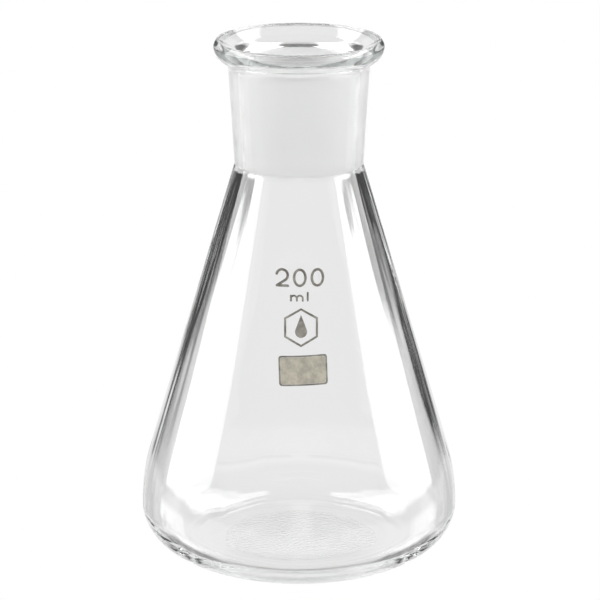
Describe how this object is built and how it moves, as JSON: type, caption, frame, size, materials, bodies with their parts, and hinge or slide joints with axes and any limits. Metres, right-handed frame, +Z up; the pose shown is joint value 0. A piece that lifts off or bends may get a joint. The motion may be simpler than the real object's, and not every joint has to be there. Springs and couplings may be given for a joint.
{
  "type": "erlenmeyer flask",
  "caption": "Conical laboratory flask in clear glass, with a ground taper socket, rolled rim and printed volume and marking spot.",
  "frame": {"origin": "centre of the base, on the surface that the flask stands on", "axes": "+Z up along the flask's axis, -Y towards the printed front, +X to the right seen from the front"},
  "size_m": [0.079, 0.079, 0.131],
  "materials": {
    "clear_glass": "clear, fire-polished",
    "ground_glass": "frosted in the ground bore, clear bead",
    "enamel": "matt fired enamel, brown-grey",
    "spot_enamel": "matt fired enamel, warm grey, slightly mottled"
  },
  "bodies": {
    "root": {"flask_body": "clear_glass", "ground_joint_socket": "ground_glass", "print_digit_2": "enamel", "print_digit_0_left": "enamel", "print_digit_0_right": "enamel", "print_letter_m": "enamel", "print_letter_l": "enamel", "mark_hexagon": "enamel", "mark_drop": "enamel", "marking_spot": "spot_enamel", "marking_spot_border": "enamel"}
  },
  "joints": []
}
